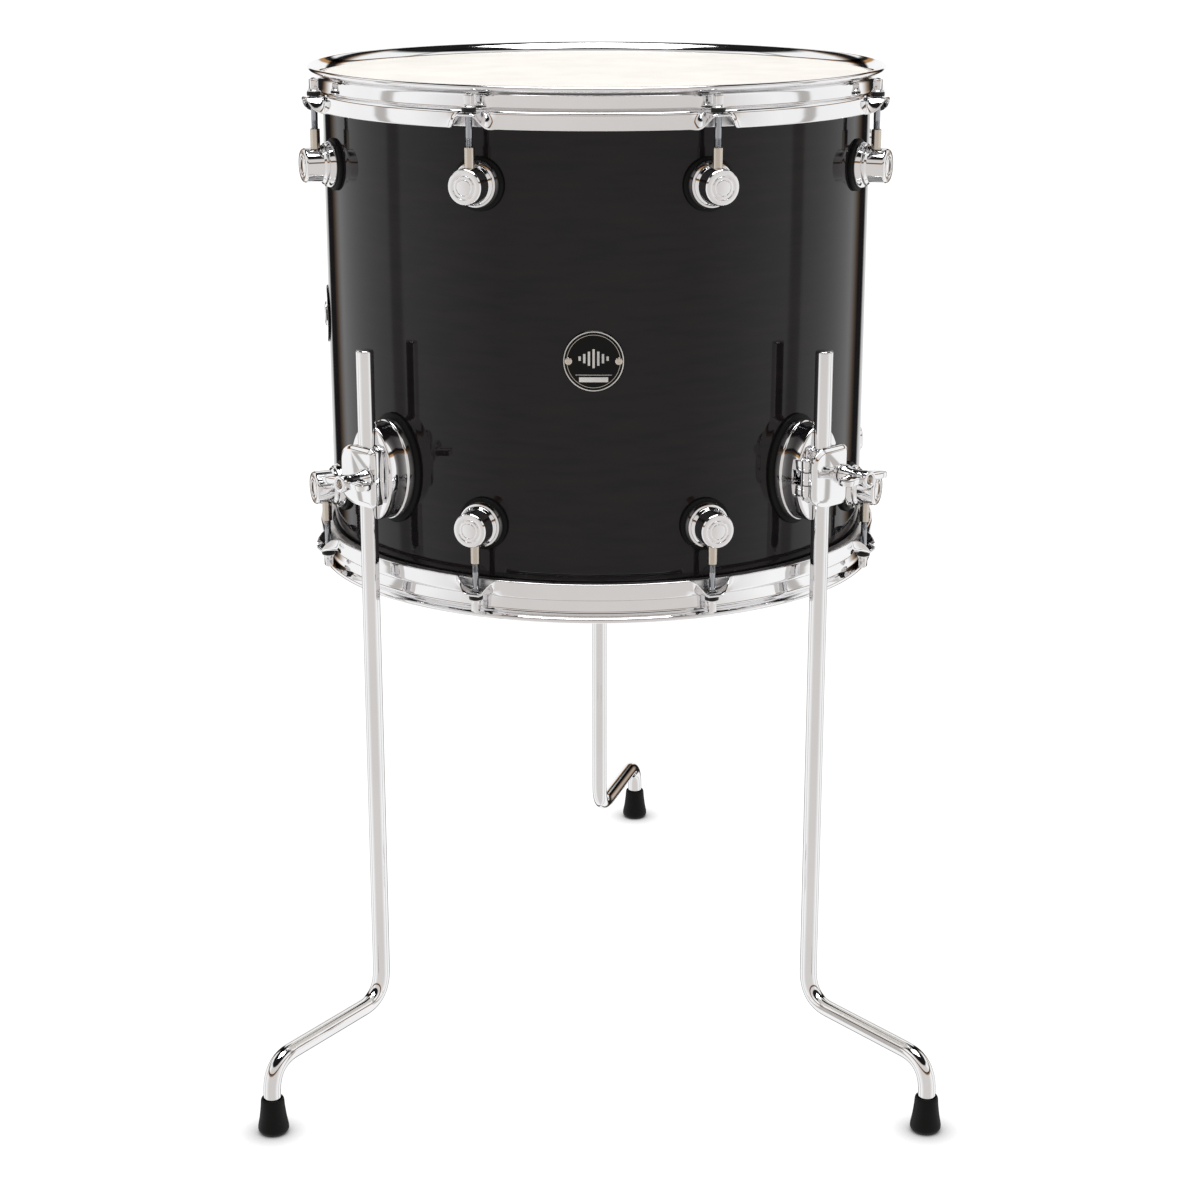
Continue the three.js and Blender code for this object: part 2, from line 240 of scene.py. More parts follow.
def outward(mesh):
    """Turns what was made about Z to point outward from the drum, along -Y."""
    return changed(mesh, Matrix.Rotation(math.pi / 2, 4, "X"))


def merged(*meshes):
    build = bmesh.new()
    for mesh in meshes:
        build.from_mesh(mesh)
    whole = bpy.data.meshes.new("mesh")
    build.to_mesh(whole)
    build.free()
    return smoothed(whole)


def carved(mesh, *cutters):
    """The mesh with the cutters taken out of it."""
    target = bpy.data.objects.new("carved", mesh)
    bpy.context.scene.collection.objects.link(target)
    tools = []
    for cutter in cutters:
        tool = bpy.data.objects.new("cutter", cutter)
        bpy.context.scene.collection.objects.link(tool)
        cut = target.modifiers.new("cut", "BOOLEAN")
        cut.operation = "DIFFERENCE"
        cut.solver = "EXACT"
        cut.object = tool
        tools.append(tool)
    depsgraph = bpy.context.evaluated_depsgraph_get()
    whole = bpy.data.meshes.new_from_object(target.evaluated_get(depsgraph))
    for leftover in (target, *tools):
        bpy.data.objects.remove(leftover)
    return smoothed(whole)


# ---- Materials
def new_material(name, color, roughness, metallic=0.0, ior=1.5):
    material = bpy.data.materials.new(name)
    material.use_nodes = True
    shader = material.node_tree.nodes["Principled BSDF"]
    shader.inputs["Base Color"].default_value = (*color, 1)
    shader.inputs["Roughness"].default_value = roughness
    shader.inputs["Metallic"].default_value = metallic
    shader.inputs["IOR"].default_value = ior
    return material, shader


def noise(material, scale, detail=4.0, stretch=(1, 1, 1)):
    """A noise in the object's own space, stretched along its axes."""
    nodes, links = material.node_tree.nodes, material.node_tree.links
    own_space = nodes.new("ShaderNodeTexCoord")
    mapping = nodes.new("ShaderNodeMapping")
    mapping.inputs["Scale"].default_value = stretch
    texture = nodes.new("ShaderNodeTexNoise")
    texture.inputs["Scale"].default_value = scale
    texture.inputs["Detail"].default_value = detail
    links.new(own_space.outputs["Object"], mapping.inputs["Vector"])
    links.new(mapping.outputs["Vector"], texture.inputs["Vector"])
    return texture.outputs["Fac"]


def vary_roughness(material, shader, fac, low, high):
    nodes, links = material.node_tree.nodes, material.node_tree.links
    spread = nodes.new("ShaderNodeMapRange")
    spread.inputs["From Min"].default_value = 0.3
    spread.inputs["From Max"].default_value = 0.7
    spread.inputs["To Min"].default_value = low
    spread.inputs["To Max"].default_value = high
    links.new(fac, spread.inputs["Value"])
    links.new(spread.outputs["Result"], shader.inputs["Roughness"])


def vary_color(material, shader, fac, first, second, low=0.35, high=0.65):
    nodes, links = material.node_tree.nodes, material.node_tree.links
    ramp = nodes.new("ShaderNodeValToRGB")
    ramp.color_ramp.elements[0].position = low
    ramp.color_ramp.elements[0].color = (*first, 1)
    ramp.color_ramp.elements[1].position = high
    ramp.color_ramp.elements[1].color = (*second, 1)
    links.new(fac, ramp.inputs["Fac"])
    links.new(ramp.outputs["Color"], shader.inputs["Base Color"])


def add_bump(material, shader, fac, strength, distance):
    nodes, links = material.node_tree.nodes, material.node_tree.links
    bump = nodes.new("ShaderNodeBump")
    bump.inputs["Strength"].default_value = strength
    bump.inputs["Distance"].default_value = distance
    links.new(fac, bump.inputs["Height"])
    links.new(bump.outputs["Normal"], shader.inputs["Normal"])


def make_chrome(name="chrome", color=(0.90, 0.90, 0.91), polish=0.03):
    """Plated steel with a slight ripple of the casting under the polish."""
    material, shader = new_material(name, color, polish, 1.0)
    vary_roughness(material, shader, noise(material, 90), polish, polish + 0.05)
    vary_color(material, shader, noise(material, 12), color, tuple(0.95 * c for c in color))
    add_bump(material, shader, noise(material, 55, 2), 0.04, 0.0004)
    return material


def make_lacquer():
    """Near-black lacquer over figured wood: the grain runs round the shell and shows a little red."""
    material, shader = new_material("black_lacquer", (0.01, 0.009, 0.01), 0.05, 0.0, 1.33)
    figure = noise(material, 26, 8, (1, 1, 6))
    vary_color(material, shader, figure, (0.009, 0.009, 0.011), (0.016, 0.012, 0.013), 0.3, 0.75)
    vary_roughness(material, shader, noise(material, 30), 0.03, 0.07)
    add_bump(material, shader, noise(material, 25, 2), 0.03, 0.0005)
    return material


def make_maple():
    """The shell's bare inside and bearing edges."""
    material, shader = new_material("maple", (0.62, 0.42, 0.24), 0.5)
    vary_color(material, shader, noise(material, 14, 8, (1, 1, 12)), (0.68, 0.48, 0.29), (0.50, 0.32, 0.17))
    vary_roughness(material, shader, noise(material, 120), 0.42, 0.6)
    add_bump(material, shader, noise(material, 90, 6, (1, 1, 12)), 0.15, 0.0003)
    return material


def make_film():
    """Coated drumhead: a white film with a fine sprayed texture."""
    material, shader = new_material("coated_film", (0.86, 0.84, 0.79), 0.5)
    vary_color(material, shader, noise(material, 30), (0.88, 0.86, 0.81), (0.82, 0.80, 0.75))
    vary_roughness(material, shader, noise(material, 400), 0.42, 0.62)
    add_bump(material, shader, noise(material, 1600, 3), 0.25, 0.0001)
    return material


def make_satin(name, color, low, high, metallic=0.0, grain=400, bump=0.1, ior=1.35):
    """Rubber, nylon, print or brushed metal: even colour with a fine grain and scuffs."""
    material, shader = new_material(name, color, low, metallic, ior)
    vary_color(material, shader, noise(material, 60, 6), color, tuple(min(1.0, 1.35 * c) for c in color))
    vary_roughness(material, shader, noise(material, 80, 6), low, high)
    add_bump(material, shader, noise(material, grain, 4), bump, 0.0002)
    return material


CHROME = make_chrome()
NICKEL = make_chrome("nickel", (0.66, 0.60, 0.52), 0.16)
STEEL = make_chrome("dull_steel", (0.42, 0.44, 0.47), 0.14)
LACQUER = make_lacquer()
MAPLE = make_maple()
FILM = make_film()
ALUMINIUM = make_satin("bare_aluminium", (0.62, 0.62, 0.63), 0.25, 0.4, 1.0, 700, 0.05)
RUBBER = make_satin("rubber", (0.004, 0.004, 0.004), 0.45, 0.6, ior=1.25)
NYLON = make_satin("black_nylon", (0.006, 0.006, 0.006), 0.3, 0.42)
PLATE = make_satin("black_plate", (0.003, 0.003, 0.003), 0.08, 0.14, 0.0, 900, 0.02, 1.25)
PRINT = make_satin("white_print", (0.62, 0.62, 0.60), 0.35, 0.45, 0.0, 900, 0.03)


def place(name, mesh, matrix, body, material, slot, *nodes):
    """Puts a mesh where it belongs: it rides on a body, takes a material and replaces CAD nodes; the slot is
    not used.
    """
    piece = bpy.data.objects.new(name, mesh)
    bpy.context.scene.collection.objects.link(piece)
    if not mesh.materials:
        mesh.materials.append(material)
    piece.matrix_world = matrix
    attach(piece, body)
    if nodes:
        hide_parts(*nodes)


# ---- Shell
def make_shell():
    """The wooden wall with its bearing edges and vent: lacquer outside, bare maple elsewhere."""
    edge = HALF_DEPTH
    inner = SHELL_RADIUS - SHELL_WALL
    round_over, slope = 1.8, 5.4
    profile = [
        (SHELL_RADIUS - round_over, -edge), (SHELL_RADIUS, round_over - edge),
        (SHELL_RADIUS, edge - round_over), (SHELL_RADIUS - round_over, edge),
        (inner, edge - slope), (inner, slope - edge),
    ]
    wall = turned(rounded(profile, 0.8, 2), 256, hollow=True)
    vent = outward(turned([(VENT_RADIUS, inner - 10), (VENT_RADIUS, SHELL_RADIUS + 10)], 40))
    wall = carved(wall, changed(vent, Matrix.Rotation(math.radians(SIDE_BADGE), 4, "Z")))
    wall.materials.clear()
    wall.materials.append(LACQUER)
    wall.materials.append(MAPLE)
    for face in wall.polygons:
        away = math.hypot(face.center.x, face.center.y) / MM
        face.material_index = 0 if away > SHELL_RADIUS - 0.6 else 1
    place("shell", wall, facing(0), "drum", LACQUER, "shell_lacquer", "shell")


# ---- Drumheads, flesh hoops and rims, made for the top end
def head_mesh():
    """The film: flat over the bearing edge, with a collar down to the flesh hoop."""
    crest = HALF_DEPTH + 0.3
    collar = SHELL_RADIUS + 0.3
    hem = 165.4
    film = 0.5
    profile = [
        (SHELL_RADIUS - 1.4, crest), (collar, crest - 1.9), (collar, hem), (collar + film, hem),
        (collar + film, crest - 1.6), (SHELL_RADIUS - 1.2, crest + film),
    ]
    return turned([(0, crest), *rounded(profile, 0.9, 3, closed=False), (0, crest + film)], 256)


def flesh_hoop_mesh():
    return turned(rounded(box_outline(204.6, 157.5, 211.4, 165), 1.2), 256, hollow=True)


# The rim: half thicknesses of its sheet, neck and rolled bead; half widths of an ear's flat and of its whole
# flare; how far the skirt hangs, and how much longer an ear is.
RIM = {"sheet": 1.0, "neck": 1.25, "bead": 1.9, "plateau": 5.0, "reach": 19.0, "skirt": 6.0, "ear": 6.2}
EAR_STEPS = 22
REST_STEPS = 20


def rim_section(bend):
    """Outline of the 2 mm sheet where its skirt is bent outward: 0 is straight down, 1 an ear for a rod."""

    def between(plain, ear):
        return Vector(plain).lerp(Vector(ear), bend)

    tilt = bend * math.pi / 2
    pivot = between((213.3, 163.5), (211.6, 166.5))
    tip = pivot + (RIM["skirt"] + RIM["ear"] * bend) * Vector((math.sin(tilt), -math.cos(tilt)))
    shoulder = between((213.3, 168.4), (209.6, 168.4))
    corners = [tip, pivot, shoulder, (207, 168.4), (207, 179.4), (212.0, 183.5)]
    centre = [Vector(p) for p in rounded(corners, 2.6, 4, closed=False)]
    halves = [RIM["sheet"]] * len(centre)
    halves[-2:] = [RIM["neck"], RIM["bead"]]
    left, right, normals = [], [], []
    for i, point in enumerate(centre):
        along = (centre[min(i + 1, len(centre) - 1)] - centre[max(i - 1, 0)]).normalized()
        normals.append(Vector((-along.y, along.x)))
        left.append(point + normals[i] * halves[i])
        right.append(point - normals[i] * halves[i])

    def cap(i, side):
        normal = normals[i]
        along = Vector((normal.y, -normal.x))
        angles = [math.pi * k / 6 for k in range(1, 6)]
        reach = side * halves[i]
        return [centre[i] + reach * (math.cos(a) * normal + math.sin(a) * along) for a in angles]

    return left + cap(-1, 1) + right[::-1] + cap(0, -1)


def rim_mesh():
    """The triple-flanged rim: its skirt turns out into an ear at each rod."""
    ear_spacing = 360 / PER_HEAD
    degree = math.radians(1) * ROD_CIRCLE
    flare = RIM["reach"] / degree
    angles = []
    for ear in range(PER_HEAD):
        middle = FIRST_LUG + ear * ear_spacing
        angles += [middle - flare + 2 * flare * k / EAR_STEPS for k in range(EAR_STEPS + 1)]
        rest = ear_spacing - 2 * flare
        angles += [middle + flare + rest * k / REST_STEPS for k in range(1, REST_STEPS)]
    rings = []
    for angle in angles:
        from_ear = abs((angle - FIRST_LUG + ear_spacing / 2) % ear_spacing - ear_spacing / 2) * degree
        t = min(max((RIM["reach"] - from_ear) / (RIM["reach"] - RIM["plateau"]), 0), 1)
        turn = math.radians(angle)
        section = rim_section(t * t * (3 - 2 * t))
        rings.append([(p.x * math.sin(turn), -p.x * math.cos(turn), p.y) for p in section])
    holes = []
    for ear in range(PER_HEAD):
        hole = shifted(turned([(3.4, 150), (3.4, 172)], 24), y=-ROD_CIRCLE)
        holes.append(changed(hole, Matrix.Rotation(math.radians(FIRST_LUG + ear * ear_spacing), 4, "Z")))
    return carved(skin(rings, ring_shaped=True), merged(*holes))


def make_ends():
    head, flesh_hoop, rim = head_mesh(), flesh_hoop_mesh(), rim_mesh()
    for end, turned_over in (("batter", False), ("resonant", True)):
        where = facing(0, 0, turned_over)
        place(f"{end}_head", head, where, "drum", FILM, "head_film", f"{end}_head")
        hoop = f"{end}_flesh_hoop"
        place(hoop, flesh_hoop, where, "drum", ALUMINIUM, "flesh_hoop_metal", hoop)
        place(f"{end}_hoop", rim, where, "drum", CHROME, "chrome", f"{end}_hoop")


# ---- Lugs and rods
def lug_gasket_mesh():
    return on_shell([
        (18.7, 18.7, 0.3), (18.7, 18.7, 1.9), (18.3, 18.3, 2.5), (17.4, 17.4, 2.8), (15, 15, 2.8),
    ])


def lug_body_mesh():
    """Flange, neck and barrel with two fine rings turned into its face."""
    foot = on_shell([
        (15.9, 15.9, 2.6), (16.4, 16.4, 3.4), (16.4, 16.4, 4.6, 0.9), (15.9, 15.9, 5.6, 0.6),
        (15.4, 15.4, 7.4, 0.2), (12.0, 12.0, 8.4, 0),
    ])
    barrel = [
        (0, 6.0), (14.2, 6.0), (14.2, 9.4), (12.4, 11.0), (12.4, 22.6), (11.5, 23.9), (8.5, 24.0),
        (8.2, 23.5), (7.6, 23.5), (7.3, 24.0), (5.7, 24.1), (5.5, 23.8), (5.1, 23.8), (4.9, 24.1), (0, 24.2),
    ]
    front = shifted(outward(turned(rounded(barrel, 0.35, 2, closed=False), 72)), y=-SHELL_RADIUS)
    return merged(foot, front)


def swivel_nut_mesh():
    """A bored sleeve that stands out of the barrel."""
    bore = 2.75
    profile = [(bore, 4.0), (3.5, 4.0), (3.5, 25.7), (bore, 25.7)]
    return shifted(turned(rounded(profile, 0.4), 32, hollow=True), y=-ROD_CIRCLE)


def shank_mesh():
    """The rod below its head: thread, plain shank and a pointed tip."""
    thread = threaded(2.5, 0.8, 125, 151)
    plain = [(0, 150), (2.1, 150), (2.35, 151.2), (2.35, 170), (0, 170)]
    shank = turned(rounded(plain, 0.2, 2, closed=False), 24)
    tip = turned([(0, 124), (1.7, 124), (2.3, 125.2), (0, 125.4)], 18)
    return merged(thread, shank, tip)


def key_head_mesh():
    """Collar and square key head with a rounded top."""
    collar = [(0, 171.0), (4.4, 171.0), (4.4, 171.6), (3.7, 172.2), (3.5, 173.4), (0, 173.4)]
    key = plate(rounded(box_outline(-2.8, -2.8, 2.8, 2.8), 0.9, 3), 172.5, 179.9, 0.7)
    crown = turned([(0, 179.0), (2.4, 179.0), (2.1, 180.2), (1.2, 180.8), (0, 180.9)], 24)
    return merged(turned(rounded(collar, 0.3, 2, closed=False), 40), key, crown)


def washer_mesh():
    return turned(rounded(box_outline(2.7, 168.0, 5.0, 171.0), 0.6), 40, hollow=True)


def make_tuning():
    gasket, body, nut = lug_gasket_mesh(), lug_body_mesh(), swivel_nut_mesh()
    shank, key_head, washer = shank_mesh(), key_head_mesh(), washer_mesh()
    for end, turned_over in (("batter", False), ("resonant", True)):
        for i in range(PER_HEAD):
            angle = FIRST_LUG + i * 360 / PER_HEAD
            at_lug = facing(angle, LUG_OFFSET, turned_over)
            number = f"{end}_{i + 1}"
            place(f"{number}_lug_gasket", gasket, at_lug, "drum", RUBBER, "rubber")
            place(f"{number}_lug_body", body, at_lug, "drum", CHROME, "chrome", f"{end}_lug_{i + 1}")
            place(f"{number}_swivel_nut", nut, at_lug, "drum", NICKEL, "chrome")
            at_rod = facing(angle, 0, turned_over) @ Matrix.Translation((0, -ROD_CIRCLE * MM, 0))
            rides = f"{end}_rod_{i + 1}"
            place(f"{number}_rod_shank", shank, at_rod, rides, STEEL, "chrome", rides)
            place(f"{number}_rod_head", key_head, at_rod, rides, CHROME, "chrome")
            place(f"{number}_washer", washer, at_rod, rides, NYLON, "rubber")


# ---- Leg brackets. Distances outward are from the leg's axis.
HINGE = {"across": -17.0, "out": 1.0, "radius": 4.0, "half": 13.0, "middle": 4.6, "gap": 0.3}


def out_of_leg(mesh, across=0.0):
    """Puts a mesh that stands outward along -Y at the leg's axis."""
    return shifted(mesh, x=across, y=-LEG_CIRCLE)


def leg_channel():
    return shifted(turned([(LEG_CHANNEL, -60), (LEG_CHANNEL, 60)], 48), y=-LEG_CIRCLE)


def at_hinge(mesh):
    return shifted(mesh, x=HINGE["across"], y=-LEG_CIRCLE - HINGE["out"])


def knuckle(low, high):
    radius = HINGE["radius"]
    profile = [(0, low), (radius, low), (radius, high), (0, high)]
    return at_hinge(turned(rounded(profile, 0.6, 2, closed=False), 40))


def bracket_gasket_mesh():
    return on_shell([
        (27.5, 40.2, 0.3), (27.5, 40.2, 1.8), (27.1, 39.8, 2.4), (26.4, 39.1, 2.7), (22, 34, 2.7),
    ])


def bracket_base_mesh():
    """Oval flange and straight-walled housing with the leg's saddle and a pocket for the hinge."""
    saddle = LEG_CIRCLE - SHELL_RADIUS
    housing = on_shell([
        (23.6, 36.1, 2.9), (24, 36.5, 3.3), (24, 36.5, 3.6), (24, 36.5, 7.6), (23.9, 36.4, 8.1),
        (23.5, 36, 8.5), (23.1, 35.6, 8.8), (23.0, 35.5, 9.2), (22.9, 35.3, 15, 0.5), (22.8, 35.1, 21.2, 0),
        (22.6, 34.9, 21.9, 0), (22.0, 34.3, 22.5, 0), (20.8, 33.1, 22.9, 0), (15.6, 25.5, 23.0, 0, 2.8, 1.0),
        (14.1, 21.6, 23.2, 0, 4.2, 1.5), (13.9, 20.8, saddle - 1.0, 0, 5, 1.5),
        (13.1, 20.0, saddle - 0.4, 0, 5, 1.5),
    ])
    side = HINGE["half"] + HINGE["gap"]
    pocket = outward(plate(rounded(box_outline(-30, -side, -12.6, side), 1.5), -8, 2, 0.5))
    return carved(housing, out_of_leg(pocket), leg_channel())


def bracket_hinge_mesh():
    """Two posts with the hinge's outer knuckles, and the pin's domed ends."""
    parts = []
    for side in (-1, 1):
        low = HINGE["middle"] + HINGE["gap"] if side > 0 else -HINGE["half"]
        high = low + HINGE["half"] - HINGE["middle"] - HINGE["gap"]
        parts.append(knuckle(low, high))
        arm = outward(plate(rounded(box_outline(-20.5, low, -11.5, high), 1.2), -10, -1, 0.6))
        parts.append(out_of_leg(arm))
        end = side * (HINGE["half"] + 1.1)
        domed = [(0, side * 12), (2.6, side * 12), (2.6, side * 13.2), (1.8, end - side * 0.2), (0, end)]
        parts.append(at_hinge(turned(domed, 24)))
    return merged(*parts)


def clamp_bolt_mesh():
    thread = outward(threaded(2.8, 1.0, -4, BOLT_END - 0.6, 20))
    end = outward(turned([(0, BOLT_END - 0.8), (2.5, BOLT_END - 0.8), (1.9, BOLT_END), (0, BOLT_END)], 20))
    return out_of_leg(merged(thread, end), CLAMP_BOLT)


def gate_mesh():
    """The hinged clamp plate: crowned face, back rib and the hinge's middle knuckle, grooved for the leg."""
    outline = [(-19.5, -17), (-7, -22.5), (18.2, -22.5), (18.2, 21), (-11, 21), (-19.5, 14)]
    front = outward(plate(rounded(outline, 6.5, 6), 6.2, 8.9, 1.1, 1.6))
    back = outward(plate(rounded(box_outline(-11, -21, 17, 20), 2.5), 0.4, 7, 0.7))
    arm = outward(plate(rounded(box_outline(-18.6, -4.6, -14.6, 4.6), 0.8), 2, 7, 0.4))
    grooved = []
    for part in (front, back):
        bolt_hole = out_of_leg(outward(turned([(3.5, -2), (3.5, 20)], 32)), CLAMP_BOLT)
        grooved.append(carved(out_of_leg(part), leg_channel(), bolt_hole))
    return merged(*grooved, out_of_leg(arm), knuckle(-HINGE["middle"], HINGE["middle"]))


def wing_nut_mesh():
    """A waisted hub with a bored end and two wings that broaden to round tips."""
    profile = [
        (3.3, 10.9), (7.2, 10.9), (7.2, 13.2), (6.2, 15.6), (5.3, 20), (5.4, 27), (6.3, 32.5), (6.1, 35.5),
        (3.3, 35.5),
    ]
    hub = turned(rounded(profile, 0.8), 48, hollow=True)
    right = [(3.8, 17.5), (11, 21.2), (20, 22.4), (23, 26), (22.4, 33), (17, 35), (9.5, 33.4), (3.8, 33)]
    left = [(-x, y) for x, y in right][::-1]
    wings = []
    for outline in (left, right):
        wing = plate(rounded(outline, 3.4, 4), -2.3, 2.3, 1.1)
        wings.append(changed(wing, Matrix.Rotation(math.pi, 4, "X")))
    return out_of_leg(merged(outward(hub), *wings), CLAMP_BOLT)


# ---- Legs and feet
# Heights of a leg's two bends, the outer one a little lower, and how far from each corner a bend starts.
BEND = {"inner": 55.5, "outer": 54.5, "start": 24, "steps": 12}


def leg_boxes(name):
    """The lowest and highest corners of a leg's box, and the middle of its foot's."""
    low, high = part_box(f"{name}_leg")
    foot_low, foot_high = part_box(f"{name}_foot")
    return low / MM, high / MM, (foot_low + foot_high) / (2 * MM)


def swept(path, radii, sides=40):
    """A round bar along a path that stays in one upright plane."""
    across = (path[-1] - path[0]).cross(Vector((0, 0, 1))).normalized()
    rings = []
    for i, point in enumerate(path):
        along = (path[min(i + 1, len(path) - 1)] - path[max(i - 1, 0)]).normalized()
        up = across.cross(along)
        ring = []
        for k in range(sides):
            angle = 2 * math.pi * k / sides
            ring.append(point + radii[i] * (math.cos(angle) * across + math.sin(angle) * up))
        rings.append(ring)
    return skin(rings)


def rounded_path(corners, radius, steps):
    """A line through corners with each inner one bent round."""
    path = [corners[0]]
    for before, corner, after in zip(corners, corners[1:], corners[2:]):
        start = corner + (before - corner).normalized() * radius
        end = corner + (after - corner).normalized() * radius
        for k in range(steps + 1):
            t = k / steps
            path.append(start * (1 - t) ** 2 + corner * (2 * t * (1 - t)) + end * t * t)
    path.append(corners[-1])
    return path


def foot_mesh():
    profile = [
        (0, 0), (9.6, 0), (11.2, 2.6), (11.1, 5.2), (9.8, 12), (8.8, 20), (8.4, 25.6), (7.8, 27), (6.85, 27),
        (6.85, 6), (0, 6),
    ]
    return turned(rounded(profile, 0.9, 3, closed=False), 64)


def make_leg(name, angle):
    """A rod with a chamfered top, straight down its bracket, out to the side and down again into its foot."""
    low, high, foot = leg_boxes(name)
    turn = math.radians(angle)
    top = Vector((AXIS.x + LEG_CIRCLE * math.sin(turn), AXIS.y - LEG_CIRCLE * math.cos(turn), high.z))
    sideways = Vector((foot.x - top.x, foot.y - top.y, 0))
    inner = Vector((top.x, top.y, BEND["inner"]))
    outer = Vector((top.x, top.y, BEND["outer"])) + sideways
    corners = [top, inner, outer, Vector((outer.x, outer.y, low.z))]
    path = [top, top - Vector((0, 0, 0.5)), top - Vector((0, 0, 1.4))]
    path += rounded_path(corners, BEND["start"], BEND["steps"])[1:]
    radii = [LEG_RADIUS - 1.3, LEG_RADIUS - 0.4] + [LEG_RADIUS] * (len(path) - 2)
    rod = f"{name}_leg"
    place(rod, swept(path, radii), Matrix.Identity(4), rod, CHROME, "chrome", rod)
    at_foot = Matrix.Translation(Vector((foot.x, foot.y, 0)) * MM)
    place(f"{name}_foot", foot_mesh(), at_foot, rod, RUBBER, "rubber", f"{name}_foot")


def make_legs():
    gasket, base, hinge = bracket_gasket_mesh(), bracket_base_mesh(), bracket_hinge_mesh()
    bolt, gate, wing_nut = clamp_bolt_mesh(), gate_mesh(), wing_nut_mesh()
    for name, angle in LEGS:
        where = facing(angle, from_floor(BRACKET_HEIGHT))
        place(f"{name}_bracket_gasket", gasket, where, "drum", RUBBER, "rubber", f"{name}_bracket_gasket")
        place(f"{name}_bracket_base", base, where, "drum", CHROME, "chrome", f"{name}_bracket_body")
        place(f"{name}_bracket_hinge", hinge, where, "drum", CHROME, "chrome")
        place(f"{name}_clamp_bolt", bolt, where, "drum", NICKEL, "chrome")
        place(f"{name}_bracket_gate", gate, where, "drum", CHROME, "chrome", f"{name}_bracket_gate")
        wing_body = f"{name}_wing_nut"
        place(wing_body, wing_nut, where, wing_body, CHROME, "chrome", wing_body)
        make_leg(name, angle)


# ---- Badges and vent. A print lies between two distances out from the shell.
BADGE = {"radius": 21.5, "back": 0.3, "face": 1.3}
PRINT_BACK = 1.32
PRINT_FACE = 1.42
OUTER_RING = (20.8, 20.1)
INNER_RING = (18.5, 18.2)


def badge_mesh():
    """A round plate on the shell with an eased edge."""
    radius, back, face = BADGE["radius"], BADGE["back"], BADGE["face"]
    edge = [(radius - 0.2, back), (radius, back + 0.2), (radius, face - 0.3), (radius - 0.3, face)]
    return on_shell([(r, r, out) for r, out in [*edge, (radius * 0.6, face)]])


def printed_ring(outer, inner):
    """A thin printed ring that follows the shell's curve."""
    rings = []
    corners = ((outer, PRINT_BACK), (outer, PRINT_FACE), (inner, PRINT_FACE), (inner, PRINT_BACK))
    for radius, out in corners:
        ring = []
        for u, z in oval(radius, radius):
            ring.append((u, -math.sqrt((SHELL_RADIUS + out) ** 2 - u * u), z))
        rings.append(ring)
    return skin(rings, ring_shaped=True)


def printed_bar(left, low, right, high, steps=10):
    """A thin printed box that follows the shell's curve."""
    rings = []
    for i in range(steps + 1):
        u = left + (right - left) * i / steps
        near, far = (math.sqrt((SHELL_RADIUS + out) ** 2 - u * u) for out in (PRINT_BACK, PRINT_FACE))
        rings.append([(u, -near, low), (u, -far, low), (u, -far, high), (u, -near, high)])
    return skin(rings)


def rivet(across):
    profile = [(0, 1.0), (2.5, 1.0), (2.5, 1.5), (2.1, 1.9), (1.3, 2.1), (0.6, 1.9), (0, 1.8)]
    return shifted(outward(turned(profile, 32)), x=across, y=-SHELL_RADIUS + 0.8)


def make_badges():
    """The front plate with its print and rivets, and the side plate around the vent's grommet."""
    front = facing(0)
    place("badge", badge_mesh(), front, "drum", PLATE, "badge_plate", "badge")
    bars = [printed_bar(-10, -14.4, 10, -11.0), printed_bar(-12.5, -9.6, 12.5, -9.3)]
    for column in range(-3, 4):
        half = 6.6 - 1.7 * abs(column)
        bars.append(printed_bar(3.2 * column - 0.8, 2 - half, 3.2 * column + 0.8, 2 + half))
    place("badge_print", merged(printed_ring(*OUTER_RING), *bars), front, "drum", PRINT, "badge_plate")
    place("badge_inner_ring", printed_ring(*INNER_RING), front, "drum", NICKEL, "badge_plate")
    place("badge_rivets", merged(rivet(-17.3), rivet(17.3)), front, "drum", NICKEL, "chrome")
    side = facing(SIDE_BADGE)
    hole = shifted(outward(turned([(VENT_RADIUS + 0.5, -10), (VENT_RADIUS + 0.5, 10)], 40)), y=-SHELL_RADIUS)
    place("side_badge", carved(badge_mesh(), hole), side, "drum", PLATE, "badge_plate", "side_badge")
    place("side_badge_print", printed_ring(*OUTER_RING), side, "drum", PRINT, "badge_plate")
    bore, tube = VENT_RADIUS - 1.6, VENT_RADIUS - 0.3
    inside, outside = -SHELL_WALL - 0.9, 1.9
    profile = [
        (bore, inside), (tube, inside), (tube, outside), (9.5, outside), (9.3, outside + 0.6),
        (7.6, outside + 1.2), (bore + 0.6, outside + 1.1), (bore, outside + 0.4),
    ]
    grommet = shifted(outward(turned(rounded(profile, 0.25, 2), 48, hollow=True)), y=-SHELL_RADIUS)
    place("vent_grommet", grommet, side, "drum", CHROME, "chrome", "vent_grommet")


# ---- Studio
def shares(bands):
    """Bands given in degrees around from the camera's side, as shares of a full turn."""
    return [((degrees + 180) / 360, color) for degrees, color in bands]


WHITE = (1.0, 1.0, 1.0)
WARM = (0.70, 0.67, 0.65)
BROWN = (0.30, 0.21, 0.14)
GREY = (0.50, 0.48, 0.46)
WOOD = (0.48, 0.27, 0.12)
BLACK = (0.015, 0.014, 0.014)
WALLS = shares([
    (-180, WHITE), (-160, WHITE), (-157, BLACK), (-147, BLACK), (-143, BROWN), (-136, WHITE), (-96, WHITE),
    (-94, GREY), (-89, GREY), (-87, WHITE), (-75, WHITE), (-40, WARM), (40, WARM), (75, WHITE),
    (87, WHITE), (89, GREY), (94, GREY), (96, WHITE), (136, WHITE), (143, BROWN), (147, BLACK),
    (157, BLACK), (160, WHITE), (180, WHITE),
])
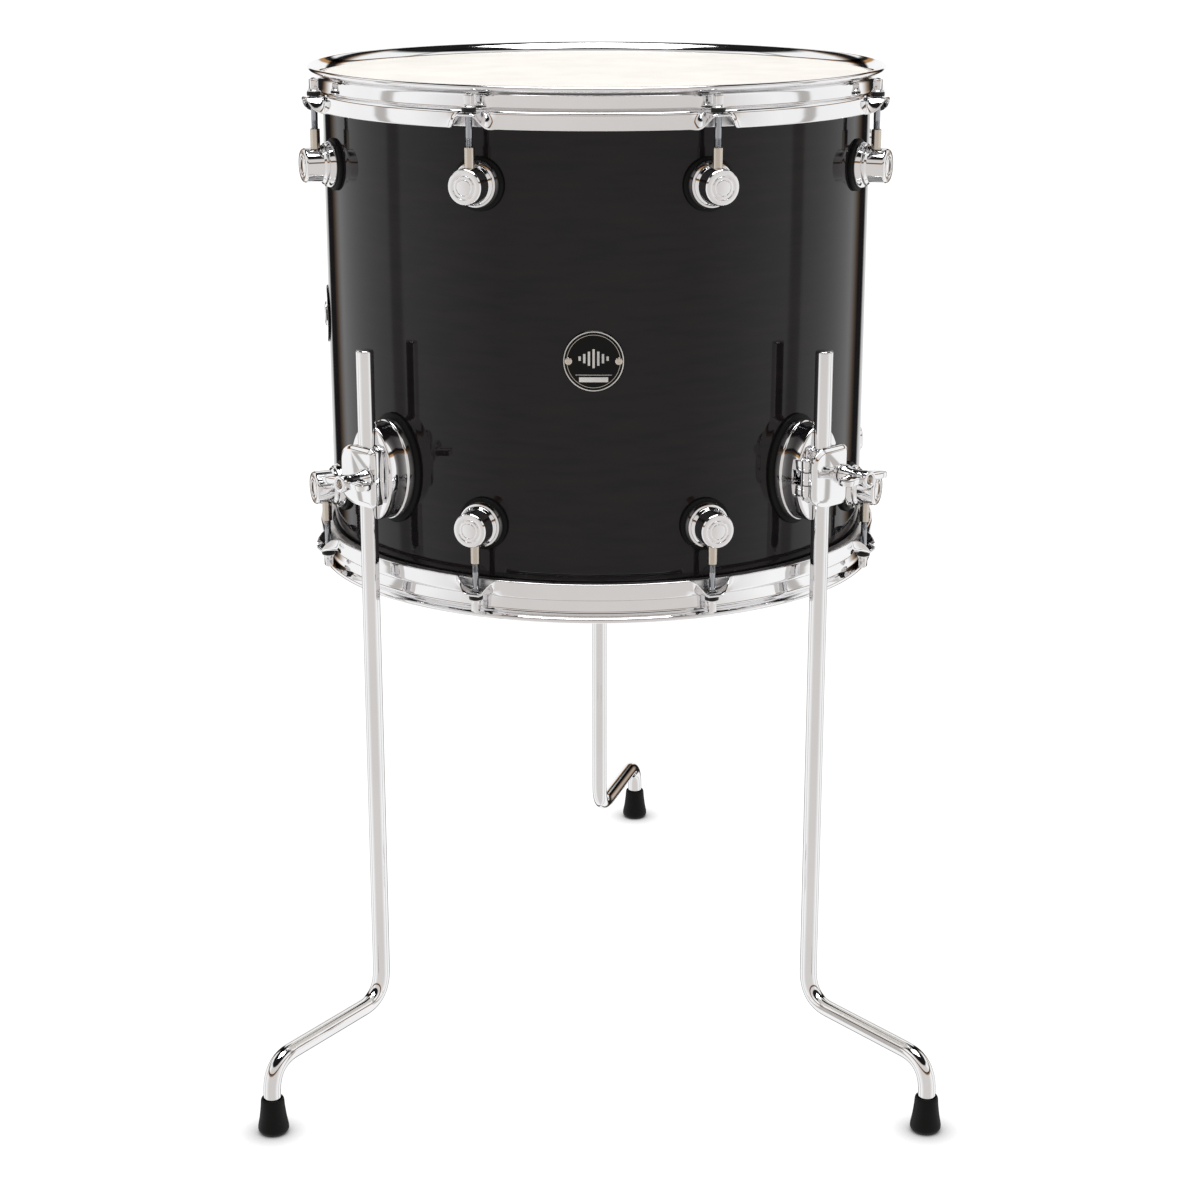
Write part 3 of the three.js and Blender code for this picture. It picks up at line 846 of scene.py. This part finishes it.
# From straight down at 0 through the horizon at a half to straight up at 1.
CEILING = [
    (0, WHITE), (0.615, WHITE), (0.63, WOOD), (0.652, WOOD), (0.66, BLACK), (0.685, BLACK), (0.70, WHITE),
    (0.83, WHITE), (0.86, BLACK), (1, BLACK),
]
# What is seen straight behind the drum, whatever the room is like.
BACKDROP = (1.1, 1.1, 1.1, 1)


def color_bands(nodes, bands):
    """A ramp through bands of (share of the whole, colour)."""
    ramp = nodes.new("ShaderNodeValToRGB")
    elements = ramp.color_ramp.elements
    elements[0].position, elements[1].position = bands[0][0], bands[-1][0]
    elements[0].color, elements[1].color = (*bands[0][1], 1), (*bands[-1][1], 1)
    for position, color in bands[1:-1]:
        elements.new(position).color = (*color, 1)
    return ramp


def banded(nodes, links, value, low, high, bands):
    """The colour of the bands at a value between low and high."""
    share = nodes.new("ShaderNodeMapRange")
    share.inputs["From Min"].default_value = low
    share.inputs["From Max"].default_value = high
    links.new(value, share.inputs["Value"])
    ramp = color_bands(nodes, bands)
    links.new(share.outputs["Result"], ramp.inputs["Fac"])
    return ramp.outputs["Color"]


def make_world():
    """A white room: a dimmer camera side, dark gaps towards the back, thin lines above and a dark ceiling."""
    world = bpy.data.worlds.new("studio")
    bpy.context.scene.world = world
    world.use_nodes = True
    nodes, links = world.node_tree.nodes, world.node_tree.links
    direction = nodes.new("ShaderNodeTexCoord")
    split = nodes.new("ShaderNodeSeparateXYZ")
    links.new(direction.outputs["Generated"], split.inputs["Vector"])
    back = nodes.new("ShaderNodeMath")
    back.operation = "MULTIPLY"
    back.inputs[1].default_value = -1
    links.new(split.outputs["Y"], back.inputs[0])
    around = nodes.new("ShaderNodeMath")
    around.operation = "ARCTAN2"
    links.new(split.outputs["X"], around.inputs[0])
    links.new(back.outputs[0], around.inputs[1])
    multiply = nodes.new("ShaderNodeMix")
    multiply.data_type = "RGBA"
    multiply.blend_type = "MULTIPLY"
    multiply.inputs["Factor"].default_value = 1
    links.new(banded(nodes, links, around.outputs[0], -math.pi, math.pi, WALLS), multiply.inputs["A"])
    links.new(banded(nodes, links, split.outputs["Z"], -1, 1, CEILING), multiply.inputs["B"])
    seen = nodes.new("ShaderNodeLightPath")
    choose = nodes.new("ShaderNodeMix")
    choose.data_type = "RGBA"
    choose.inputs["B"].default_value = BACKDROP
    links.new(seen.outputs["Is Camera Ray"], choose.inputs["Factor"])
    links.new(multiply.outputs["Result"], choose.inputs["A"])
    links.new(choose.outputs["Result"], nodes["Background"].inputs["Color"])


def make_floor():
    """A clear sheet with painted contact shadows: it only darkens close to the feet, as far as the ambient
    occlusion reaches, so that a foot lowered through it still shows.
    """
    half = 4e4
    corners = [(x, y, 0) for x, y in box_outline(-half, -half, half, half)]
    mesh = mesh_of(corners, [(0, 1, 2, 3)])
    floor = bpy.data.objects.new("floor", mesh)
    bpy.context.scene.collection.objects.link(floor)
    floor.location.z = -0.0002
    floor.visible_glossy = False
    material = bpy.data.materials.new("floor_painted_shadow")
    material.use_nodes = True
    nodes, links = material.node_tree.nodes, material.node_tree.links
    nodes.clear()
    # Painted contact shadow: ambient occlusion within 2 cm darkens what is seen through the sheet near the
    # feet.
    shade = nodes.new("ShaderNodeAmbientOcclusion")
    shade.inputs["Distance"].default_value = 0.02
    shade.samples = 8
    soften = nodes.new("ShaderNodeGamma")
    soften.inputs["Gamma"].default_value = 1.6
    clear = nodes.new("ShaderNodeBsdfTransparent")
    output = nodes.new("ShaderNodeOutputMaterial")
    links.new(shade.outputs["Color"], soften.inputs["Color"])
    links.new(soften.outputs["Color"], clear.inputs["Color"])
    links.new(clear.outputs["BSDF"], output.inputs["Surface"])
    mesh.materials.append(material)


def make_light(name, place_at, aim, size, power):
    """A rectangular softbox, in metres and watts."""
    data = bpy.data.lights.new(name, "AREA")
    data.shape = "RECTANGLE"
    data.size, data.size_y = size
    data.energy = power
    light = bpy.data.objects.new(name, data)
    bpy.context.scene.collection.objects.link(light)
    light.location = place_at
    light.rotation_euler = (Vector(aim) - Vector(place_at)).to_track_quat("-Z", "Y").to_euler()


def make_studio():
    make_world()
    make_floor()
    make_light("top_softbox", place_at=(0, -0.2, 2.6), aim=(0, 0, 0.5), size=(1.6, 1.2), power=38)
    bpy.context.scene.view_settings.view_transform = "Standard"


# Distance from the drum's axis and height in millimetres, angles in degrees, lens on a 36 mm wide sensor.
CAMERA = {"distance": 1878.1, "height": 883.8, "around": 0.594, "down": 16.659, "aside": 0.077, "lens": 74.41}
SENSOR_WIDTH = 36


def make_camera():
    data = bpy.data.cameras.new("camera")
    data.lens = CAMERA["lens"]
    data.sensor_width = SENSOR_WIDTH
    data.clip_end = 200
    camera = bpy.data.objects.new("camera", data)
    bpy.context.scene.collection.objects.link(camera)
    around = math.radians(CAMERA["around"])
    across = CAMERA["distance"] * math.sin(around) + AXIS.x
    back = AXIS.y - CAMERA["distance"] * math.cos(around)
    camera.location = Vector((across, back, CAMERA["height"])) * MM
    turn = math.radians(CAMERA["around"] - CAMERA["aside"])
    camera.rotation_euler = (math.radians(90 - CAMERA["down"]), 0, turn)
    bpy.context.scene.camera = camera


make_shell()
make_ends()
make_tuning()
make_legs()
make_badges()
make_studio()
make_camera()
